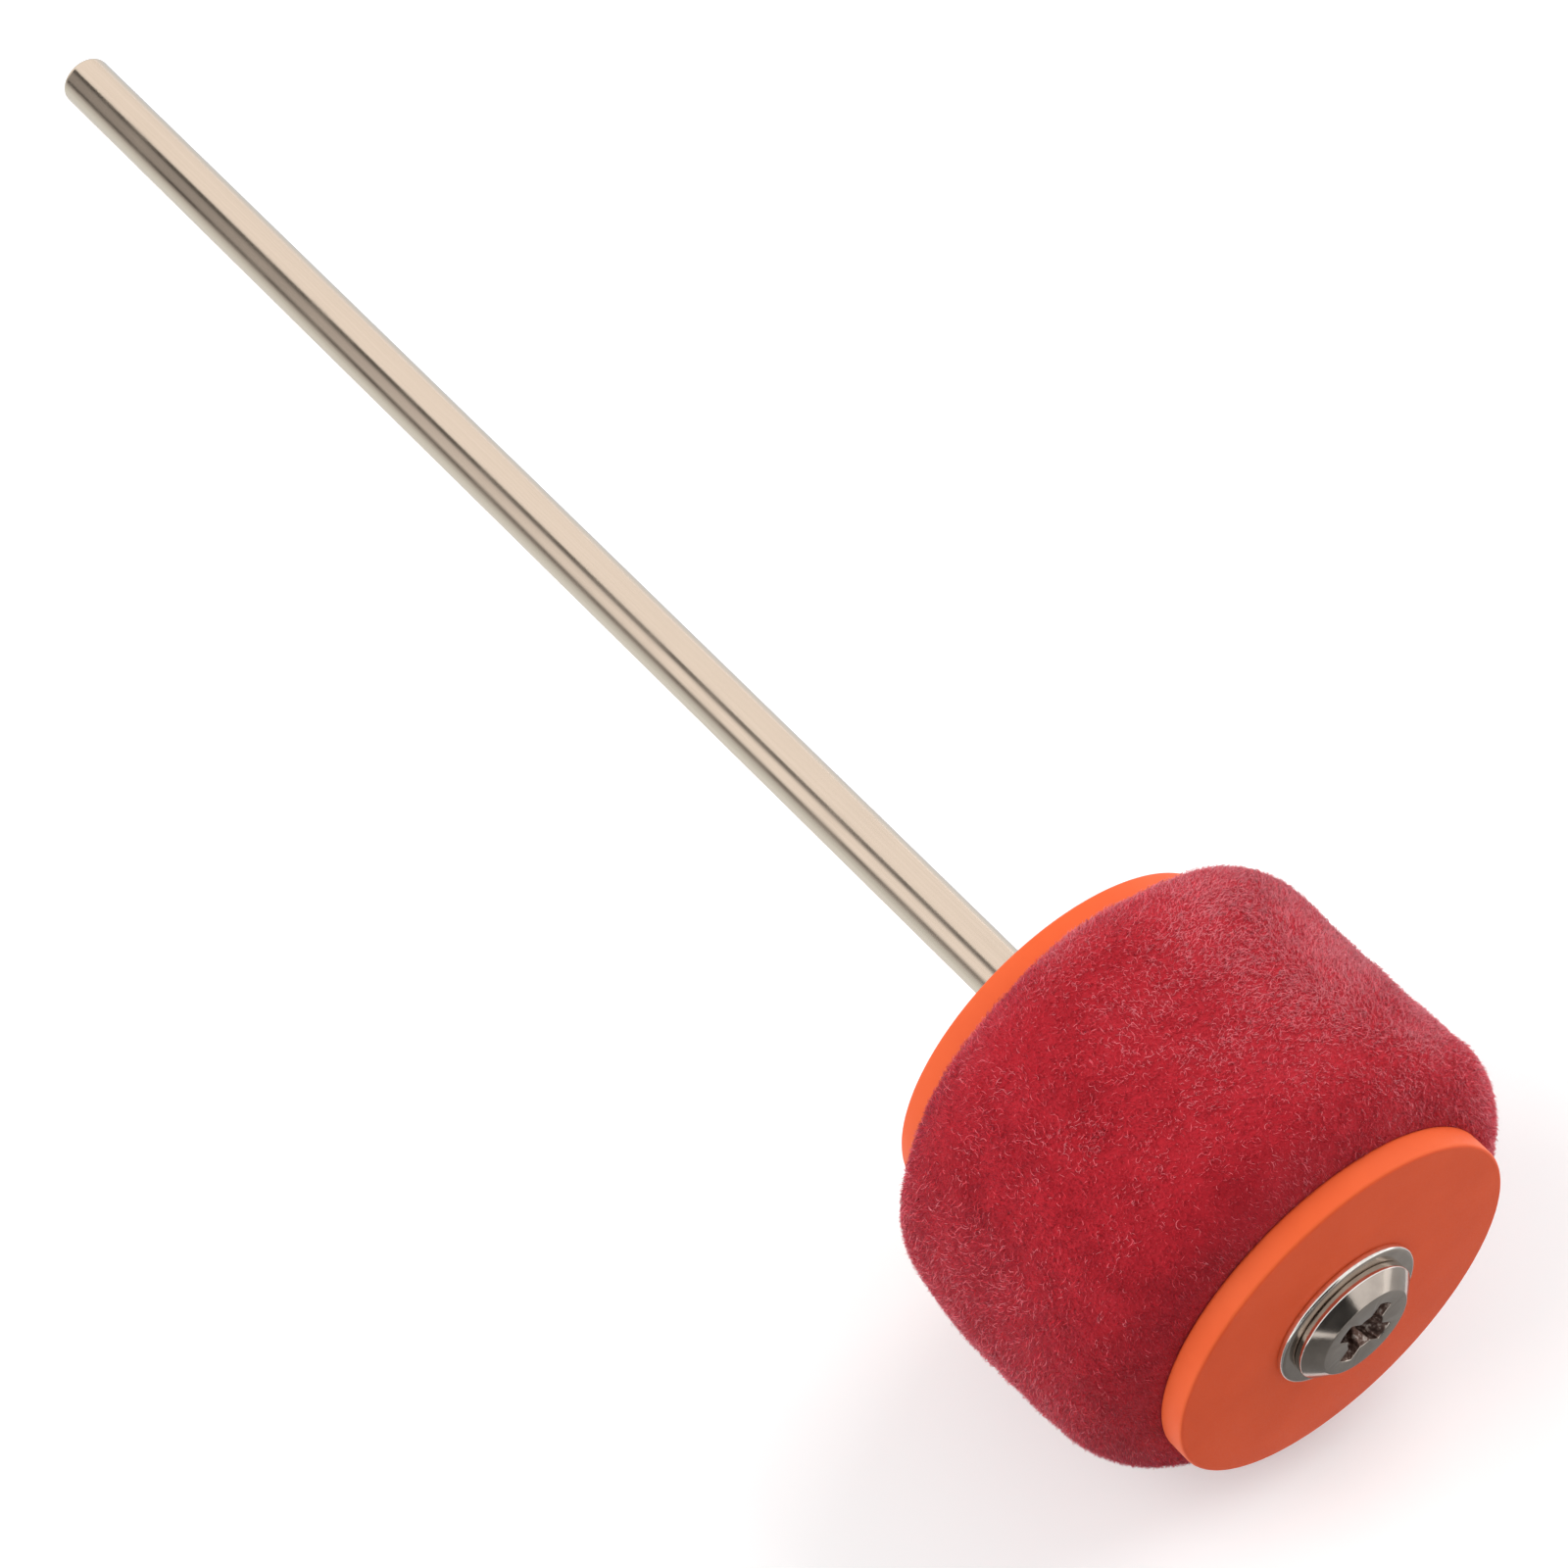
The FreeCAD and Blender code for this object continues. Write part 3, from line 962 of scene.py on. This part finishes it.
def shade_fibres(kind, tall, angle, x):
    """Shade of each fibre, from about 0 to about 1, with painted light and shade in it."""
    along = along_cover(x)
    # Painted light and shade by the turn from the side of painted sheen, fading towards the front disc
    turn = np.degrees(np.arccos(sheen_side(angle)))
    fade = 1 - SHEEN_FADE_FRONT * np.clip(along, 0, 1) ** 2
    # Taller fibres are paler, a painted sheen of lit tips
    shade = kind["shade"] + kind["tip_shade"] * (tall - 0.5) + NAP_PATCH * nap_shade(angle, x)
    shade = shade + fade * np.interp(turn, SIDE_STOPS_DEG, kind["side_shades"])
    # The nap is paler near the discs, painted light against their shade
    shade = shade + kind["shoulder_shade"] * along ** 2
    return shade + random.normal(0, kind["mottle"], tall.size)


def grow_fibres(kind):
    """Points from root to tip, shade, radius and the way its part of the pile faces, for each fibre."""
    row, angle = scatter_roots(kind)
    x, root, outward = stand_roots(row, angle)
    lean, across = comb(outward, angle, x)
    tall = random.uniform(0, 1, angle.size) ** kind["few_tall"]
    lines = curve_fibres(kind, tall, root, outward, lean, across)
    shade = shade_fibres(kind, tall, angle, x)
    radius = kind["radius"] * (1 + kind["tip_girth"] * (tall - 0.5))
    facing = outward + random.normal(0, kind["tousle"], outward.shape)
    return lines, shade, radius, facing / np.linalg.norm(facing, axis=1, keepdims=True)


def keep_off_discs(lines, radius):
    """Fibres that would run into a disc lie along its face instead."""
    rear_face = reach("rear_disc")[1] + radius
    front_face, _, disc_r = reach("front_disc")
    under = np.hypot(lines[..., 1], lines[..., 2]) < disc_r + 2 * radius
    x = lines[..., 0]
    lines[..., 0] = np.where(under, np.clip(x, rear_face, front_face - radius), x)
    return lines


def fibre_faces(steps):
    """Triangles of one closed fibre, and how far along it each lies, from 0 to 1."""
    faces = []
    places = []
    for step in range(steps - 1):
        for k in range(FIBRE_SIDES):
            a = step * FIBRE_SIDES + k
            b = step * FIBRE_SIDES + (k + 1) % FIBRE_SIDES
            faces += [(a, b, b + FIBRE_SIDES), (a, b + FIBRE_SIDES, a + FIBRE_SIDES)]
            places += [step / steps, step / steps]
    last = (steps - 1) * FIBRE_SIDES
    for k in range(FIBRE_SIDES):
        faces.append((last + k, last + (k + 1) % FIBRE_SIDES, steps * FIBRE_SIDES))
        places.append((steps - 1) / steps)
    faces.append(tuple(reversed(range(FIBRE_SIDES))))
    places.append(0.0)
    return np.array(faces), np.array(places)


def fibre_points(lines, steps, radius):
    """Rings of points along each fibre, which thin towards the tip, and the tip itself."""
    along = np.gradient(lines, axis=1)
    along /= np.maximum(np.linalg.norm(along, axis=2, keepdims=True), TINY)
    first = np.cross(along, FIBRE_ASIDE)
    first /= np.linalg.norm(first, axis=2, keepdims=True)
    second = np.cross(along, first)
    side = around(FIBRE_SIDES)
    spoke = first[:, :, None] * np.cos(side)[:, None] + second[:, :, None] * np.sin(side)[:, None]
    thick = np.linspace(1.0, FIBRE_TIP, steps)[None, :, None, None] * radius[:, None, None, None]
    rings = lines[:, :steps, None] + spoke[:, :steps] * thick
    return np.concatenate([rings.reshape(len(lines), -1, 3), lines[:, -1:]], axis=1)


def fibre_mesh(name, kind):
    lines, shade, radius, facing = grow_fibres(kind)
    points = fibre_points(keep_off_discs(lines, radius.max()), kind["steps"], radius)
    faces, places = fibre_faces(kind["steps"])
    first_corner = np.arange(len(points)) * points.shape[1]
    corners = (faces[None] + first_corner[:, None, None]).reshape(-1, 3)
    mesh = bpy.data.meshes.new(name)
    mesh.vertices.add(points.shape[0] * points.shape[1])
    mesh.vertices.foreach_set("co", (points * MM).astype(np.float32).ravel())
    mesh.loops.add(corners.size)
    mesh.loops.foreach_set("vertex_index", corners.astype(np.int32).ravel())
    mesh.polygons.add(len(corners))
    mesh.polygons.foreach_set("loop_start", np.arange(0, corners.size, 3, dtype=np.int32))
    # Darker at the root and paler at the tip: painted shade and painted sheen
    tone = np.clip(shade[:, None] + FIBRE_TONE * (places - FIBRE_TONE_FROM), 0, 1)
    choice = np.minimum(tone * len(PILE_SHADES), len(PILE_SHADES) - 1)
    mesh.polygons.foreach_set("material_index", choice.astype(np.int32).ravel())
    mesh.update(calc_edges=True)
    mesh.shade_smooth()
    mesh.normals_split_custom_set_from_vertices(np.repeat(facing, points.shape[1], axis=0).tolist())
    return mesh


def build_pile(label, kind, materials):
    for i in range(kind["pieces"]):
        name = f"plush_{label}_{i + 1}"
        new_object(name, fibre_mesh(name, kind), materials, "head")


# Stage, light and camera

def white_for_lenses(tree):
    """1 for rays from the camera and those that a mirror or glass sends on, and 0 for the rest."""
    path = add_node(tree, "ShaderNodeLightPath")
    total = path.outputs["Is Camera Ray"]
    for name in ("Is Glossy Ray", "Is Transmission Ray"):
        either = add_node(tree, "ShaderNodeMath", operation="MAXIMUM")
        tree.links.new(total, either.inputs[0])
        tree.links.new(path.outputs[name], either.inputs[1])
        total = either.outputs[0]
    return total


def build_floor():
    """White paper that keeps the object's shadow."""
    middle = (FLOOR_MIDDLE_X, 0, cad_box[0].z - FLOOR_GAP)
    bpy.ops.mesh.primitive_plane_add(size=FLOOR_SIZE, location=middle)
    floor = bpy.context.object
    floor.name = "floor"
    material, tree, shader = new_material("white_paper")
    set_levels(shader, FLOOR_LEVELS)
    coordinates = add_node(tree, "ShaderNodeTexCoord")
    distance = add_node(tree, "ShaderNodeVectorMath", operation="LENGTH")
    tree.links.new(coordinates.outputs["Object"], distance.inputs[0])
    glow = spread(tree, distance.outputs["Value"], *FLOOR_LIFT, value_range=FLOOR_LIFT_OVER)
    lift = add_node(tree, "ShaderNodeMath", operation="MULTIPLY")
    tree.links.new(white_for_lenses(tree), lift.inputs[0])
    tree.links.new(glow, lift.inputs[1])
    tree.links.new(lift.outputs[0], shader.inputs["Emission Strength"])
    floor.data.materials.append(material)


def build_world():
    world = bpy.data.worlds.new("studio")
    bpy.context.scene.world = world
    world.use_nodes = True
    tree = world.node_tree
    background = tree.nodes["Background"]
    background.inputs["Color"].default_value = (1, 1, 1, 1)
    level = spread(tree, white_for_lenses(tree), WORLD_LIGHT, WORLD_SEEN, value_range=(0, 1))
    tree.links.new(level, background.inputs["Strength"])


def build_light(name, place):
    lamp = bpy.data.lights.new(name, "AREA")
    lamp.shape = "SQUARE"
    lamp.size = SOFTBOX_SIZE
    lamp.energy = SOFTBOX_POWER
    light = bpy.data.objects.new(name, lamp)
    bpy.context.scene.collection.objects.link(light)
    light.location = place
    light.rotation_euler = (Vector(SOFTBOX_TARGET) - Vector(place)).to_track_quat("-Z", "Y").to_euler()
    light.visible_glossy = False


def glossy_only(card):
    """A card that shows only in reflections, and throws no light or shadow."""
    for kind in ("camera", "diffuse", "transmission", "volume_scatter", "shadow"):
        setattr(card, f"visible_{kind}", False)


def card_material(name, tones_across, tones_along):
    """Glowing card that paints a reflection: a tone across it times a tone along it."""
    material = bpy.data.materials.new(name)
    material.use_nodes = True
    tree = material.node_tree
    tree.nodes.remove(tree.nodes["Principled BSDF"])
    coordinates = add_node(tree, "ShaderNodeTexCoord")
    parts = add_node(tree, "ShaderNodeSeparateXYZ")
    tree.links.new(coordinates.outputs["UV"], parts.inputs["Vector"])
    both = add_node(tree, "ShaderNodeMix", data_type="RGBA", blend_type="MULTIPLY")
    both.inputs["Factor"].default_value = 1.0
    tree.links.new(ramp(tree, parts.outputs["Y"], tones_across), both.inputs["A"])
    tree.links.new(ramp(tree, parts.outputs["X"], tones_along), both.inputs["B"])
    glow = add_node(tree, "ShaderNodeEmission")
    tree.links.new(both.outputs["Result"], glow.inputs["Color"])
    tree.links.new(glow.outputs["Emission"], tree.nodes["Material Output"].inputs["Surface"])
    return material


def build_card(name, corner_rows, tones_across, tones_along=EVEN):
    """Card over rows of points; U runs along a row and V across the rows."""
    rows, columns = len(corner_rows), len(corner_rows[0])
    faces = []
    for i in range(rows - 1):
        for j in range(columns - 1):
            a = i * columns + j
            faces.append((a, a + 1, a + columns + 1, a + columns))
    mesh = bpy.data.meshes.new(f"{name}_card")
    mesh.from_pydata([p for row in corner_rows for p in row], [], faces)
    places = mesh.uv_layers.new(name="card")
    for loop in mesh.loops:
        i, j = divmod(loop.vertex_index, columns)
        places.data[loop.index].uv = (j / (columns - 1), i / (rows - 1))
    mesh.materials.append(card_material(name, tones_across, tones_along))
    card = bpy.data.objects.new(f"{name}_card", mesh)
    bpy.context.scene.collection.objects.link(card)
    glossy_only(card)


def build_cards():
    """Dim glowing cards round the object, painted reflections: bent ones over both its sides, flat ones on
    the floor that paint its shade, and one in front.
    """
    for name, card in BENT_CARDS.items():
        rows = []
        for turn in np.radians(np.linspace(*card["turn_deg"], CARD_ROWS)):
            y = CARD_RADIUS * math.cos(turn)
            z = CARD_RADIUS * math.sin(turn)
            rows.append([(x, y, z) for x in card["x"]])
        build_card(name, rows, card["across"], card["along"])
    floor_z = cad_box[0].z - FLOOR_GAP / 2
    for name, card in FLOOR_CARDS.items():
        build_card(name, [[(x, y, floor_z) for x in card["x"]] for y in card["y"]], card["across"])
    front_rows = [[(FRONT_CARD_X, y, z) for y in FRONT_CARD_Y] for z in (floor_z, FRONT_CARD_TOP)]
    build_card("dim_front", front_rows, [(0.0, FRONT_CARD_TONE), (1.0, FRONT_CARD_TONE)])


def build_camera():
    lens = bpy.data.cameras.new("camera")
    lens.sensor_width = SENSOR
    lens.lens = FOCAL_PX / FRAME_PX * SENSOR
    camera = bpy.data.objects.new("camera", lens)
    bpy.context.scene.collection.objects.link(camera)
    back = CAMERA_BACK.normalized()
    up = back.cross(CAMERA_RIGHT).normalized()
    right = up.cross(back)
    face = Vector((reach("front_disc")[1], 0, 0))
    pose = Matrix((right, up, back)).transposed().to_4x4()
    pose.translation = (face + CAMERA_FROM_FACE) * MM
    camera.matrix_world = pose
    bpy.context.scene.camera = camera


# The whole

steel = textured("plated_fastener")
highlight_edge = textured("highlight_edge")
orange = textured("orange_disc")
orange_rim_highlight = textured("orange_rim_highlight")
sewing = textured("sewing_thread")

build_shaft(textured("plated_shaft"))
build_rear_nut(steel)
build_rear_washer(steel)
build_disc("rear_disc", DISC_REAR_BORE_R, orange, orange_rim_highlight)
build_disc("front_disc", DISC_FRONT_BORE_R, orange, orange_rim_highlight)
build_front_washer(steel, highlight_edge)
build_sleeve_nut(steel, textured("recess_painted_shade"), highlight_edge)
build_core(textured("wood_core"))
build_draw_thread("rear_draw_thread", sewing)
build_draw_thread("front_draw_thread", sewing)
build_felt(textured("felt"))
build_cover(textured("plush"))
fibres = pile_materials()
build_pile("nap", NAP, fibres)
build_pile("loose", LOOSE, fibres)

build_floor()
build_world()
for name, place in SOFTBOXES.items():
    build_light(name, place)
build_cards()
build_camera()
bpy.context.scene.view_settings.view_transform = "Standard"
